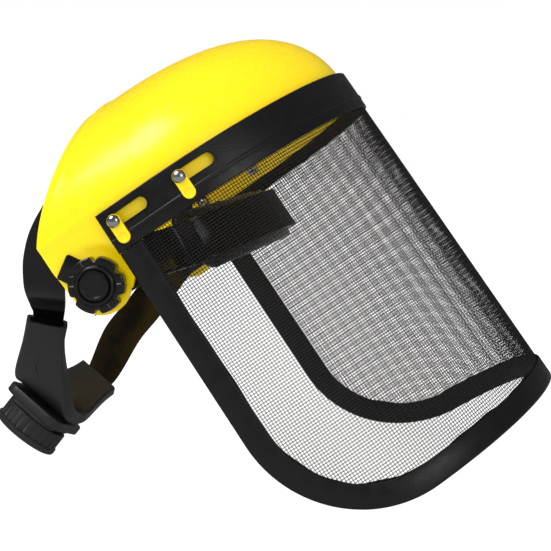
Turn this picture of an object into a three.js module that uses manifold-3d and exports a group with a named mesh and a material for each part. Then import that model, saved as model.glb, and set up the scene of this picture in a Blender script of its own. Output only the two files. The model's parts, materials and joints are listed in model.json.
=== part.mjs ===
// Face shield: a yellow brow guard with a black wire mesh visor, on a ratchet head harness.
// Head frame, millimetres: +Z up the wearer's head, -Y the way the wearer looks, -X the wearer's right.
// The whole assembly is then tipped back to lie on the visor's lower corners and the nape knob.
import * as THREE from 'three';
import { mergeVertices } from 'three/addons/utils/BufferGeometryUtils.js';
import Module from 'manifold-3d';

const wasm = await Module();
wasm.setup();

// ---- driving dimensions ----
// Leaning back this far, both lower visor corners and the nape knob touch the surface.
const REST_TILT = THREE.MathUtils.degToRad(33.6);
const GAP = 0.3;
const VISOR = { halfWidth: 112, depth: 96, side: 28, height: 192, corner: 64, flare: 0.00017, half: 0.4 };
const STRIP = { bottom: 171, half: 1.5, groove: 0.7, cap: 1.6 };
const BINDING = { width: 12, half: 1.5, groove: 0.7, spine: 1.2 };
const GUARD = { wall: 2.4, inset: 1.8, base: 192, rise: 52.5, rear: 150, low: 178, back: 62 };
const LATCH = {
  y: { front: -15.2, rear: 21.3 }, z: 185, slot: 18, slotHalf: 3.1, reach: 8.4, tip: 3.2, hub: 3.4,
};
const PIVOT = { y: 45, z: 165, bolt: 3, lobe: 15, outer: 108.4, inner: 105.6 };
const KNOB = { radius: 13.5, inner: 110.1, outer: 120, ribs: 6, capRadius: 7.2 };
const BAND = { halfWidth: 79, front: -31, half: 1.0, width: 22, pad: 8, padHeight: 37 };
const STRAP = { width: 21, half: 0.9 };
const NAPE = {
  right: 45, left: 35, reach: 40, sag: 26, climb: 11, half: 4, twist: 40,
  housing: 19, knob: 18, knobDepth: 11, pinion: 5,
};

const COLOUR = {
  yellow: 0xf6e000, black: 0x1a1a1c, mesh: 0x222224, steel: 0xb9bbbd, foam: 0x1b1e26, grey: 0x2a2a2c,
};

// ---- solids: meshes to exact solids and back ----
function toSolid(geometry) {
  let bare = geometry.clone();
  bare.deleteAttribute('normal');
  bare.deleteAttribute('uv');
  bare = mergeVertices(bare, 1e-4);
  return new wasm.Manifold(new wasm.Mesh({
    numProp: 3,
    vertProperties: new Float32Array(bare.attributes.position.array),
    triVerts: new Uint32Array(bare.index.array),
  }));
}

function toGeometry(solid) {
  const mesh = solid.getMesh();
  const geometry = new THREE.BufferGeometry();
  geometry.setAttribute('position', new THREE.BufferAttribute(new Float32Array(mesh.vertProperties), 3));
  geometry.setIndex(new THREE.BufferAttribute(new Uint32Array(mesh.triVerts), 1));
  return geometry;
}

function cut(geometry, ...tools) {
  return toGeometry(tools.reduce((solid, tool) => solid.subtract(toSolid(tool)), toSolid(geometry)));
}

function join(geometry, ...others) {
  return toGeometry(others.reduce((solid, other) => solid.add(toSolid(other)), toSolid(geometry)));
}

// A flat ring's points in its own plane.
function outline(ring) {
  const [o, p, q] = [ring[0], ring[1], ring[ring.length - 1]].map((v) => new THREE.Vector3(...v));
  const across = p.sub(o).normalize();
  const along = q.sub(o).cross(across).normalize().cross(across);
  return ring.map((v) => {
    const d = new THREE.Vector3(...v).sub(o);
    return new THREE.Vector2(d.dot(across), d.dot(along));
  });
}

// A closed solid through rings of points, capped at both ends.
function loft(rings) {
  const count = rings[0].length;
  const positions = rings.flat(2);
  const index = [];
  for (let i = 0; i < rings.length - 1; i += 1) {
    const next = (i + 1) * count;
    for (let j = 0; j < count; j += 1) {
      const k = (j + 1) % count;
      const a = i * count;
      index.push(a + j, a + k, next + k, a + j, next + k, next + j);
    }
  }
  const flat = outline(rings[0]);
  const turns = THREE.ShapeUtils.area(flat) > 0;
  const last = (rings.length - 1) * count;
  for (const face of THREE.ShapeUtils.triangulateShape(flat, [])) {
    const same = THREE.ShapeUtils.area(face.map((i) => flat[i])) > 0 === turns;
    const [a, b, c] = same ? face : [...face].reverse();
    index.push(a, c, b, last + a, last + b, last + c);
  }
  const geometry = new THREE.BufferGeometry();
  geometry.setAttribute('position', new THREE.Float32BufferAttribute(positions, 3));
  geometry.setIndex(index);
  return outward(geometry);
}

// Turns a closed geometry's faces outward if its signed volume is negative.
function outward(geometry) {
  const p = geometry.attributes.position;
  const index = geometry.index.array;
  const [a, b, c] = [new THREE.Vector3(), new THREE.Vector3(), new THREE.Vector3()];
  let volume = 0;
  for (let i = 0; i < index.length; i += 3) {
    a.fromBufferAttribute(p, index[i]);
    b.fromBufferAttribute(p, index[i + 1]);
    c.fromBufferAttribute(p, index[i + 2]);
    volume += a.dot(b.cross(c));
  }
  if (volume < 0) geometry.setIndex([...index].reverse());
  return geometry;
}

function mirrored(geometry) {
  const flipped = geometry.clone();
  flipped.scale(-1, 1, 1);
  if (!flipped.index) return mergeVertices(flipped);
  flipped.setIndex([...flipped.index.array].reverse());
  return flipped;
}

const range = (count) => Array.from({ length: count }, (_, i) => i);
const lerp = THREE.MathUtils.lerp;

// A disc or ring lathed round X: profile points are [radius, x] from one end to the other.
function turned(profile, y, z, segments = 24) {
  const lathe = new THREE.LatheGeometry(profile.map(([r, x]) => new THREE.Vector2(r, x)), segments);
  lathe.rotateZ(-Math.PI / 2);
  lathe.translate(0, y, z);
  return outward(mergeVertices(lathe.deleteAttribute('normal').deleteAttribute('uv'), 1e-4));
}

// A prism of a flat YZ outline between two X planes.
function prism(shape, x0, x1, curve = 8) {
  const solid = new THREE.ExtrudeGeometry(shape, { depth: x1 - x0, bevelEnabled: false, curveSegments: curve });
  solid.applyMatrix4(new THREE.Matrix4().set(0, 0, 1, x0, 1, 0, 0, 0, 0, 1, 0, 0, 0, 0, 0, 1));
  return solid;
}

function stadium(y0, z0, y1, z1, radius) {
  const angle = Math.atan2(z1 - z0, y1 - y0);
  const shape = new THREE.Shape();
  shape.absarc(y1, z1, radius, angle - Math.PI / 2, angle + Math.PI / 2, false);
  shape.absarc(y0, z0, radius, angle + Math.PI / 2, angle + Math.PI * 1.5, false);
  shape.closePath();
  return shape;
}

// ---- visor section: straight sides and a half ellipse, measured along its arc from the right rear edge ----
const ARC_STEPS = 400;
const section = [new THREE.Vector2(-VISOR.halfWidth, VISOR.side)];
for (const i of range(ARC_STEPS + 1)) {
  const angle = Math.PI * (1 - i / ARC_STEPS);
  section.push(new THREE.Vector2(VISOR.halfWidth * Math.cos(angle), -VISOR.depth * Math.sin(angle)));
}
section.push(new THREE.Vector2(VISOR.halfWidth, VISOR.side));
const arc = [0];
section.slice(1).forEach((point, i) => arc.push(arc[i] + point.distanceTo(section[i])));
const SPAN = arc[arc.length - 1];

// Wraps the flat pattern (arc length a, height z) onto the section, n outward.
function wrap(a, z, n) {
  let i = arc.findIndex((length) => length > a) - 1;
  if (i < 0) i = a <= 0 ? 0 : arc.length - 2;
  const [from, to] = [section[i], section[i + 1]];
  const t = (a - arc[i]) / (arc[i + 1] - arc[i]);
  const along = to.clone().sub(from).normalize();
  const scale = 1 + VISOR.flare * (VISOR.height - z);
  const x = lerp(from.x, to.x, t) * scale + along.y * n;
  const y = lerp(from.y, to.y, t) * scale - along.x * n;
  return [x, y, z];
}

const cornerHeight = (a, inset) => {
  const edge = Math.min(a, SPAN - a) - inset;
  const r = VISOR.corner - inset;
  return inset + (edge < r ? r - Math.sqrt(Math.max(0, r * r - (r - edge) ** 2)) : 0);
};

function visorMesh() {
  const inset = 1.6;
  const columns = range(61).map((i) => {
    const t = i / 60;
    return inset + (SPAN - 2 * inset) * (t - Math.sin(4 * Math.PI * t) / (8 * Math.PI));
  });
  const half = VISOR.half;
  return loft(columns.map((a) => {
    const low = Math.min(cornerHeight(a, inset), VISOR.corner);
    const top = VISOR.height - STRIP.cap - GAP;
    return [wrap(a, low, half), wrap(a, top, half), wrap(a, top, -half), wrap(a, low, -half)];
  }));
}

function channel(profile, stations) {
  return loft(stations.map(({ a, z, inA, inZ }) => profile.map(([w, n]) => wrap(a + w * inA, z + w * inZ, n))));
}

function uProfile(width, half, groove, spine) {
  return [[0, half], [width, half], [width, groove], [spine, groove], [spine, -groove], [width, -groove],
    [width, -half], [0, -half]];
}

function visorBinding() {
  const top = STRIP.bottom - GAP;
  const r = VISOR.corner;
  const stations = [{ a: 0, z: top, inA: 1, inZ: 0 }];
  for (const i of range(10)) {
    const angle = (Math.PI / 2) * (i / 9);
    stations.push({
      a: r - r * Math.cos(angle), z: r - r * Math.sin(angle), inA: Math.cos(angle), inZ: Math.sin(angle),
    });
  }
  for (const i of range(24).slice(1)) {
    stations.push({ a: lerp(r, SPAN - r, i / 24), z: 0, inA: 0, inZ: 1 });
  }
  for (const { a, z, inA, inZ } of stations.slice(0, 11).reverse()) {
    stations.push({ a: SPAN - a, z, inA: -inA, inZ });
  }
  return channel(uProfile(BINDING.width, BINDING.half, BINDING.groove, BINDING.spine), stations);
}

function latchSlots() {
  return [-1, 1].flatMap((side) => Object.values(LATCH.y).map((y) => {
    const shape = stadium(y, LATCH.z, y - LATCH.slot + LATCH.slotHalf, LATCH.z, LATCH.slotHalf);
    return side < 0 ? prism(shape, -130, -90) : prism(shape, 90, 130);
  }));
}

function topStrip() {
  const stations = range(57).map((i) => ({ a: SPAN * (i / 56), z: VISOR.height, inA: 0, inZ: -1 }));
  const profile = uProfile(VISOR.height - STRIP.bottom, STRIP.half, STRIP.groove, STRIP.cap);
  return channel(profile, stations);
}

// ---- brow guard: a domed shell whose rim wall stands just inside the strip ----
function guardPlan(angle, inset) {
  const inward = GUARD.inset + inset;
  const halfWidth = VISOR.halfWidth - inward;
  if (Math.sin(angle) >= 0) return [halfWidth * Math.cos(angle), -(VISOR.depth - inward) * Math.sin(angle)];
  const y = -(GUARD.rear - inset) * Math.sin(angle);
  const taper = Math.max(0, 1 - (y / (GUARD.rear - inset)) ** 3) ** 0.5;
  return [Math.sign(Math.cos(angle)) * halfWidth * taper, y];
}

function guardRadial(angle, r, inset) {
  const [x, y] = guardPlan(angle, inset);
  const back = Math.max(0, y * r) / 50;
  const rise = (GUARD.rise - inset) * Math.sqrt(Math.max(0, 1 - r ** (2.8 + Math.min(1, back))));
  return [x * r, y * r, GUARD.base + rise * (1 - 0.1 * Math.min(1.5, back) ** 2)];
}

function guardBlock(inset, floor) {
  const around = 72;
  const levels = [1, 0.985, 0.95, 0.89, 0.8, 0.68, 0.53, 0.35, 0.17];
  const ring = (make) => range(around).map((i) => make((2 * Math.PI * i) / around));
  const rings = [ring((angle) => {
    const [x, y] = guardPlan(angle, inset);
    const scale = 1 + VISOR.flare * (VISOR.height - floor);
    return [x * scale, y * scale, floor];
  })];
  levels.forEach((r) => rings.push(ring((angle) => guardRadial(angle, r, inset))));
  return loft(rings);
}

function browGuard() {
  const shell = toSolid(guardBlock(0, 140)).subtract(toSolid(guardBlock(GUARD.wall, 130)));
  const { y: py, z: pz } = PIVOT;
  const profile = new THREE.Shape();
  profile.moveTo(-120, GUARD.low);
  profile.lineTo(12, GUARD.low);
  profile.lineTo(24, 163);
  profile.lineTo(py - 12, pz - 10);
  profile.absarc(py, pz, PIVOT.lobe, -2.45, -0.1, false);
  profile.lineTo(GUARD.back, 183);
  profile.lineTo(GUARD.back, GUARD.base + 4);
  profile.quadraticCurveTo(GUARD.back - 12, GUARD.base + 21, GUARD.back - 60, GUARD.base + 60);
  profile.lineTo(-120, 270);
  profile.closePath();
  const bolt = turned([[0, -130], [PIVOT.bolt + GAP, -130], [PIVOT.bolt + GAP, 130], [0, 130]], py, pz, 20);
  const disc = (from, to) => toSolid(turned([[0, from], [PIVOT.lobe, from], [PIVOT.lobe, to], [0, to]], py, pz, 40));
  let solid = shell;
  for (const side of [-1, 1]) {
    const [outer, inner] = [side * PIVOT.outer, side * PIVOT.inner];
    solid = solid.subtract(disc(side * 130, outer)).add(disc(outer, inner)).subtract(disc(inner, side * 90));
  }
  solid = solid.intersect(toSolid(prism(profile, -130, 130, 10))).subtract(toSolid(bolt));
  for (const y of Object.values(LATCH.y)) {
    const hole = turned([[0, -130], [2.3, -130], [2.3, 130], [0, 130]], y, LATCH.z, 12);
    solid = solid.subtract(toSolid(hole));
  }
  const largest = solid.decompose().reduce((best, piece) => (piece.volume() > best.volume() ? piece : best));
  return toGeometry(largest);
}

// ---- latches: each is built square to X at the origin and set against the wall's local slope ----
function latchFrame(y) {
  let a = 0;
  while (wrap(a, LATCH.z, 0)[1] > y && a < SPAN / 2) a += 0.05;
  const inner = wrap(a, LATCH.z, 0);
  const outer = wrap(a, LATCH.z, 10);
  const frame = new THREE.Group();
  frame.position.set(...inner);
  frame.rotation.z = Math.atan2(outer[1] - inner[1], outer[0] - inner[0]) - Math.PI;
  return frame;
}

function latchLever() {
  const arm = prism(stadium(0, 0, 0, -LATCH.reach, LATCH.tip), -3.8, -1.8);
  const hub = turned([[0, -3.8], [LATCH.hub, -3.8], [LATCH.hub, -1.8], [2.4, -1.8], [2.4, 1.2], [0, 1.2]], 0, 0, 20);
  const bore = turned([[0, -9], [1.5, -9], [1.5, 9], [0, 9]], 0, 0, 12);
  return cut(join(arm, hub), bore);
}

function latchRivet() {
  return turned([[0, -6.4], [1.4, -6.2], [2.5, -5.4], [3.1, -4.1], [1.2, -4.1], [1.2, 5.9], [2.3, 5.9],
    [2, 6.9], [0, 7.2]], 0, 0, 16);
}

function rivetWasher() {
  return turned([[1.5, 5], [3.6, 5], [3.6, 5.6], [1.5, 5.6], [1.5, 5]], 0, 0, 16);
}

// ---- pivots, built for the wearer's right and mirrored ----
function pivotBolt() {
  return turned([[0, -113], [2.9, -113], [2.9, -97.7], [6, -97.7], [6, -95.9], [0, -95.9]], PIVOT.y, PIVOT.z, 20);
}

function frictionWasher() {
  const w = PIVOT.inner - GAP;
  return turned([[3.3, -w], [9, -w], [9, -w + 1.2], [3.3, -w + 1.2], [3.3, -w]], PIVOT.y, PIVOT.z, 20);
}

function pivotPlate() {
  const { y, z } = PIVOT;
  const reach = 17;
  const angle = THREE.MathUtils.degToRad(58);
  const plate = new THREE.BoxGeometry(0.8, 28, 13);
  plate.translate(0, reach - 11, 0);
  plate.rotateX(angle);
  plate.translate(-PIVOT.outer - 1, y, z);
  const bore = turned([[0, -130], [3.3, -130], [3.3, -90], [0, -90]], y, z, 16);
  return cut(plate, bore);
}

function pivotKnob() {
  const { radius, inner, outer, ribs } = KNOB;
  const outline = range(ribs * 8).map((i) => {
    const angle = (2 * Math.PI * i) / (ribs * 8);
    const r = radius - (i % 8 < 2 ? 1.6 : 0);
    return new THREE.Vector2(PIVOT.y + r * Math.cos(angle), PIVOT.z + r * Math.sin(angle));
  });
  const body = prism(new THREE.Shape(outline), -outer + 2, -inner);
  const boss = turned([[0, -outer + 1], [9.2, -outer + 1], [9.2, -outer + 3], [0, -outer + 3]], PIVOT.y, PIVOT.z);
  const seat = turned([[0, -130], [KNOB.capRadius + GAP, -130], [KNOB.capRadius + GAP, -outer + 4],
    [0, -outer + 4]], PIVOT.y, PIVOT.z);
  const bore = turned([[0, -114], [3.2, -114], [3.2, -90], [0, -90]], PIVOT.y, PIVOT.z, 20);
  return cut(join(body, boss), seat, bore);
}

function knobCap() {
  const r = KNOB.capRadius;
  const floor = -KNOB.outer + 4 - GAP;
  return turned([[0, -KNOB.outer - 1], [r, -KNOB.outer - 1], [r, floor], [0, floor]], PIVOT.y, PIVOT.z, 24);
}

// ---- bands: a strip of section 2*half by width swept along a path, its width along a given direction ----
function ribbon(path, steps, width, half, lift) {
  const curve = new THREE.CatmullRomCurve3(path.map((p) => new THREE.Vector3(...p)), false, 'centripetal');
  return loft(range(steps + 1).map((i) => {
    const t = i / steps;
    const p = curve.getPoint(t);
    const along = curve.getTangent(t);
    const wide = lift(t).sub(along.clone().multiplyScalar(lift(t).dot(along))).normalize();
    const out = along.clone().cross(wide);
    const w = (typeof width === 'function' ? width(t) : width) / 2;
    return [[-w, -half], [w, -half], [w, half], [-w, half]].map(([b, n]) => (
      p.clone().addScaledVector(wide, b).addScaledVector(out, n).toArray()));
  }));
}

function headbandPath(inset) {
  const half = BAND.halfWidth - inset;
  const front = BAND.front + inset;
  const arm = [[-102.8, PIVOT.y + 12, PIVOT.z], [-102.8, PIVOT.y, PIVOT.z], [-102.8, 30, 165], [-101.6, 23, 164.5],
    [-93, 15.5, 162]];
  const bend = range(7).map((i) => {
    const angle = (Math.PI / 12) * i;
    return [-half * Math.cos(angle), 9 - (9 - front) * Math.sin(angle), lerp(160, 152, Math.sin(angle))];
  });
  const rightSide = [...arm, ...bend];
  return [...rightSide, ...rightSide.slice(0, -1).reverse().map(([x, y, z]) => [-x, y, z])];
}

function headband() {
  const band = ribbon(headbandPath(0), 56, BAND.width, BAND.half, () => new THREE.Vector3(0, 0, 1));
  const bore = turned([[0, -130], [3.3, -130], [3.3, 130], [0, 130]], PIVOT.y, PIVOT.z, 16);
  return cut(band, bore);
}

function sweatband() {
  const inset = BAND.half + 5 * GAP + BAND.pad / 2;
  const path = headbandPath(inset).filter(([x, y]) => Math.abs(x) < 80 && y < 10);
  const width = (t) => BAND.padHeight * (1 - 0.12 * Math.cos(Math.PI * (t - 0.5)) - 0.4 * Math.abs(2 * t - 1) ** 12);
  return ribbon(path, 28, width, BAND.pad / 2, () => new THREE.Vector3(0, 0, 1));
}

// A direction that passes through the given ones, evenly spaced along the band.
function turning(directions) {
  return (t) => {
    const place = Math.min(t * (directions.length - 1), directions.length - 1.0001);
    const i = Math.floor(place);
    const [from, to] = [directions[i], directions[i + 1]].map((d) => new THREE.Vector3(...d).normalize());
    return from.lerp(to, place - i).normalize();
  };
}

// Both rear straps narrow on their way into the nape sleeve.
const strapWidth = (t) => lerp(STRAP.width, 16, THREE.MathUtils.smoothstep(t, 0.75, 0.92));

// The right strap climbs from its pivot, bends over and runs down into the nape sleeve.
function rearStrap() {
  const path = [[-100.6, 51, 156], [-100.6, 45, 165], [-100.6, 40, 174], [-100.2, 35.5, 184], [-98, 33.5, 193.5],
    [-94, 35.5, 201.5], [-91.8, 42, 204.5], [-88.4, 51.5, 202], [-82, 62.5, 197.5], [-78, 71.5, 190.5],
    [-72, 79.5, 181.5], [-56, 88, 174.5], ...napeEnd(-1, [3, -4])];
  const lifts = [...range(12).map(() => [0, 0.8, 0.6]), ...range(2).map(() => napeUp(-1))];
  return ribbon(path, 40, strapWidth, STRAP.half, turning(lifts));
}

function leftRearStrap() {
  const path = [[100.6, 35, 167.5], [100.6, 45, 165.5], [100.6, 54, 163.4], [98.5, 61, 161], [91, 69.5, 157],
    [79, 81, 151.5], [62, 95, 145.5], ...napeEnd(1, [2, -4])];
  const lifts = [...range(3).map(() => [0, 0.15, 0.9]), [0, 0.3, 0.9], [0, 0.45, 0.87], [0, 0.5, 0.85],
    [0, 0.5, 0.85], ...range(2).map(() => napeUp(1))];
  return ribbon(path, 28, strapWidth, STRAP.half, turning(lifts));
}

function crownStrap(side, end) {
  const rise = (angle) => [side * -98.4 * Math.min(1, 1.02 * Math.cos(angle) ** 1.2),
    PIVOT.y - 36 * Math.sin(angle), PIVOT.z + 2 + 57 * Math.sin(angle)];
  const path = range(9).map((i) => rise(lerp(-0.06, end, i / 8)));
  return ribbon(path, 18, 14, 0.6, () => new THREE.Vector3(0, 0.85, 0.52));
}

// ---- nape: a curved sleeve holding two toothed strap ends that one pinion draws together ----
const nape = new THREE.Group();
nape.position.set(0, 131.5, 135.5);
nape.rotation.order = 'ZXY';
nape.rotation.x = THREE.MathUtils.degToRad(-18);
nape.rotation.y = THREE.MathUtils.degToRad(17);
nape.rotation.z = THREE.MathUtils.degToRad(8);

// In the nape frame +Y is the ratchet's axis, +Z up the cradle and X across it.
const napeSag = (x) => -NAPE.sag * (Math.abs(x) / NAPE.reach) ** 2.1;

// The sleeve's centre line: its right half climbs towards the strap.
function napeCentre(x) {
  const climb = (d) => THREE.MathUtils.smoothstep(d, 8, NAPE.right + 14);
  const pull = 3 * THREE.MathUtils.smoothstep(-x, 15, NAPE.right);
  return new THREE.Vector3(x, napeSag(x) - pull, NAPE.climb * (climb(-x) / climb(NAPE.right)));
}

const napeAlong = (x) => napeCentre(x + 0.5).sub(napeCentre(x - 0.5)).normalize();

// The sleeve's own up and outward directions at x: its right half also twists.
function napeAxes(x) {
  const along = napeAlong(x);
  const level = new THREE.Vector3(0, 0, 1).addScaledVector(along, -along.z).normalize();
  const flat = level.clone().cross(along);
  const twist = THREE.MathUtils.degToRad(NAPE.twist) * THREE.MathUtils.smoothstep(-x, 8, NAPE.right);
  return {
    up: level.clone().multiplyScalar(Math.cos(twist)).addScaledVector(flat, Math.sin(twist)),
    out: flat.multiplyScalar(Math.cos(twist)).addScaledVector(level, -Math.sin(twist)),
  };
}

function napeRing(x, inset) {
  const half = NAPE.half - inset;
  const [end, reach] = x < 0 ? [10.6, 42] : [13, 34];
  const tall = lerp(18.5, end, THREE.MathUtils.smoothstep(Math.abs(x), 8, reach)) - inset;
  const { up, out } = napeAxes(x);
  return [[-half, -tall], [half, -tall], [half, tall], [-half, tall]].map(([n, z]) => (
    napeCentre(x).addScaledVector(out, n).addScaledVector(up, z).toArray()));
}

// Points on the sleeve's centre line in the head frame, given how far they stand out of its end.
function napeEnd(side, distances) {
  const end = side < 0 ? -NAPE.right : NAPE.left;
  nape.updateMatrix();
  return distances.map((d) => napeCentre(end).addScaledVector(napeAlong(end), side * d)
    .applyMatrix4(nape.matrix).toArray());
}

function napeUp(side) {
  nape.updateMatrix();
  return napeAxes(side < 0 ? -NAPE.right : NAPE.left).up.transformDirection(nape.matrix).toArray();
}

function napeCradle() {
  const stations = (over) => range(23).map((i) => lerp(-NAPE.right - over, NAPE.left + over, i / 22));
  const body = loft(stations(0).map((x) => napeRing(x, 0)));
  const hollow = loft(stations(4).map((x) => napeRing(x, 1.6)));
  const hole = new THREE.CylinderGeometry(7, 7, 30, 24);
  hole.translate(0, 12, 0);
  return cut(body, hollow, hole);
}

function housingPlate(x0, y0, z0, y1, radius) {
  const shape = new THREE.Shape();
  const [w, h] = [x0 - radius, z0 - radius];
  shape.absarc(w, h, radius, 0, Math.PI / 2);
  shape.absarc(-w, h, radius, Math.PI / 2, Math.PI);
  shape.absarc(-w, -h, radius, Math.PI, 1.5 * Math.PI);
  shape.absarc(w, -h, radius, 1.5 * Math.PI, 2 * Math.PI);
  const plate = new THREE.ExtrudeGeometry(shape, { depth: y1 - y0, bevelEnabled: false, curveSegments: 5 });
  plate.rotateX(Math.PI / 2);
  plate.translate(0, y1, 0);
  return plate;
}

function axial(profile, segments = 24) {
  const lathe = new THREE.LatheGeometry(profile.map(([r, y]) => new THREE.Vector2(r, y)), segments);
  return outward(mergeVertices(lathe.deleteAttribute('normal').deleteAttribute('uv'), 1e-4));
}

function ratchetHousing() {
  const bowl = axial([[0, 4.4], [12, 4.4], [12, 7.6], [0, 7.6]]);
  const bore = axial([[0, 0], [6.5, 0], [6.5, 30], [0, 30]]);
  return cut(housingPlate(19, 4.4, NAPE.housing, 9.6, 8), bowl, bore);
}

function ratchetCover() {
  return cut(housingPlate(17, 9.9, 15, 11.9, 8), axial([[0, 0], [6.5, 0], [6.5, 30], [0, 30]]));
}

function ratchetKnob() {
  const [y0, y1, r] = [12.3, 12.3 + NAPE.knobDepth, NAPE.knob];
  const shape = new THREE.Shape(range(72).map((i) => {
    const angle = (2 * Math.PI * i) / 72;
    const edge = r - (i % 4 === 0 ? 1.1 : 0);
    return new THREE.Vector2(edge * Math.cos(angle), edge * Math.sin(angle));
  }));
  const body = new THREE.ExtrudeGeometry(shape, { depth: y1 - y0, bevelEnabled: false });
  body.rotateX(Math.PI / 2);
  body.translate(0, y1, 0);
  const skirt = axial([[0, y1 - 2], [r + 0.8, y1 - 2], [r + 0.8, y1 + 1], [r - 1, y1 + 2], [0, y1 + 2]], 36);
  const bore = axial([[0, 0], [3, 0], [3, y1 - 2], [0, y1 - 2]], 16);
  const dish = axial([[0, y1 + 0.6], [r - 5, y1 + 0.6], [r - 4, y1 + 9], [0, y1 + 9]], 24);
  const sink = axial([[0, y1 - 3.2], [4.6, y1 - 3.2], [4.6, y1 + 9], [0, y1 + 9]], 16);
  return cut(join(body, skirt), bore, dish, sink);
}

function ratchetPinion() {
  const teeth = 12;
  const shape = new THREE.Shape(range(teeth * 4).map((i) => {
    const angle = (2 * Math.PI * (i + 0.5)) / (teeth * 4);
    const edge = i % 4 < 2 ? NAPE.pinion : NAPE.pinion - 1.3;
    return new THREE.Vector2(edge * Math.cos(angle), edge * Math.sin(angle));
  }));
  const gear = new THREE.ExtrudeGeometry(shape, { depth: 5.8, bevelEnabled: false });
  gear.rotateX(Math.PI / 2);
  gear.translate(0, 2.9, 0);
  const end = 8.8 + NAPE.knobDepth;
  const shaft = axial([[0, 2], [2.7, 2], [2.7, end], [0, end]], 16);
  const pilot = axial([[0, 10], [1.6, 10], [1.6, 30], [0, 30]], 12);
  return cut(join(gear, shaft), pilot);
}

function ratchetScrew() {
  const y = 12.3 + NAPE.knobDepth - 3.2;
  return axial([[0, 10.5], [1.3, 10.5], [1.3, y + GAP], [4.2, y + GAP], [3.6, y + 2.4], [0, y + 3]], 16);
}

function clickSpring() {
  return axial([[7, 5.2], [11.4, 5.2], [11.4, 6.2], [7, 6.2], [7, 5.2]], 20);
}

function strapRack(side) {
  const rack = new THREE.BoxGeometry(16, 1.7, 2.2);
  rack.translate(0, -0.85, side * (NAPE.pinion + 1.4));
  return rack;
}

// ---- assembly ----
const shield = new THREE.Group();
shield.rotation.x = -REST_TILT;
shield.add(nape);

function add(name, geometry, colour, roughness, metalness = 0, parent = shield) {
  const material = new THREE.MeshStandardMaterial({ color: colour, roughness, metalness });
  const mesh = new THREE.Mesh(geometry, material);
  mesh.name = name;
  parent.add(mesh);
  return mesh;
}

add('brow_guard', browGuard(), COLOUR.yellow, 0.25);
add('visor_mesh', cut(visorMesh(), ...latchSlots()), COLOUR.mesh, 0.6);
add('visor_top_strip', cut(topStrip(), ...latchSlots()), COLOUR.black, 0.4);
add('visor_edge_binding', visorBinding(), COLOUR.black, 0.45);

const SIDES = { right: -1, left: 1 };
for (const [side, sign] of Object.entries(SIDES)) {
  const face = (geometry) => (sign < 0 ? geometry : mirrored(geometry));
  for (const [place, y] of Object.entries(LATCH.y)) {
    const frame = latchFrame(y);
    if (sign > 0) {
      frame.position.x *= -1;
      frame.rotation.z *= -1;
    }
    shield.add(frame);
    add(`latch_${side}_${place}`, face(latchLever()), COLOUR.yellow, 0.25, 0, frame);
    add(`latch_rivet_${side}_${place}`, face(latchRivet()), COLOUR.steel, 0.25, 1, frame);
    add(`rivet_washer_${side}_${place}`, face(rivetWasher()), COLOUR.steel, 0.35, 1, frame);
  }
  add(`pivot_bolt_${side}`, face(pivotBolt()), COLOUR.steel, 0.35, 1);
  add(`friction_washer_${side}`, face(frictionWasher()), COLOUR.grey, 0.6);
  add(`pivot_plate_${side}`, face(pivotPlate()), COLOUR.black, 0.35);
  add(`pivot_knob_${side}`, face(pivotKnob()), COLOUR.grey, 0.5);
  add(`knob_cap_${side}`, face(knobCap()), COLOUR.black, 0.4);
}

add('headband', headband(), COLOUR.black, 0.3);
add('sweatband', sweatband(), COLOUR.foam, 0.9);
const strapBore = turned([[0, -130], [3.3, -130], [3.3, 130], [0, 130]], PIVOT.y, PIVOT.z, 16);
add('rear_strap_right', cut(rearStrap(), strapBore), COLOUR.black, 0.2);
add('rear_strap_left', cut(leftRearStrap(), strapBore), COLOUR.black, 0.2);
add('crown_strap_right', cut(crownStrap(1, 1.566), strapBore), COLOUR.black, 0.25);
add('crown_strap_left', cut(crownStrap(-1, 1.566), strapBore), COLOUR.black, 0.25);

add('nape_cradle', napeCradle(), COLOUR.grey, 0.45, 0, nape);
add('ratchet_housing', ratchetHousing(), COLOUR.grey, 0.45, 0, nape);
add('ratchet_cover', ratchetCover(), COLOUR.black, 0.4, 0, nape);
add('ratchet_knob', ratchetKnob(), COLOUR.grey, 0.5, 0, nape);
add('ratchet_pinion', ratchetPinion(), COLOUR.steel, 0.5, 0, nape);
add('ratchet_screw', ratchetScrew(), COLOUR.steel, 0.35, 1, nape);
add('click_spring', clickSpring(), COLOUR.steel, 0.35, 1, nape);
add('strap_rack_right', strapRack(1), COLOUR.black, 0.4, 0, nape);
add('strap_rack_left', strapRack(-1), COLOUR.black, 0.4, 0, nape);

// The origin is put at the middle of the footprint, on the surface that the shield lies on.
shield.updateMatrixWorld(true);
const box = new THREE.Box3().setFromObject(shield, true);
const middle = box.getCenter(new THREE.Vector3());
shield.position.set(-middle.x, -middle.y, -box.min.z);

const faceShield = new THREE.Group();
faceShield.add(shield);
export default faceShield;
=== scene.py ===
# Face shield: yellow brow guard, woven wire visor and a black ratchet head harness.
# Shapes are worked out in the head frame in millimetres (+Z up the head, -Y the way it looks,
# -X the wearer's right) and then laid down to rest on the visor's corners and the nape knob.
import json
import math
from bisect import bisect_right

import bmesh
import bpy
from mathutils import Matrix, Vector


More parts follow.
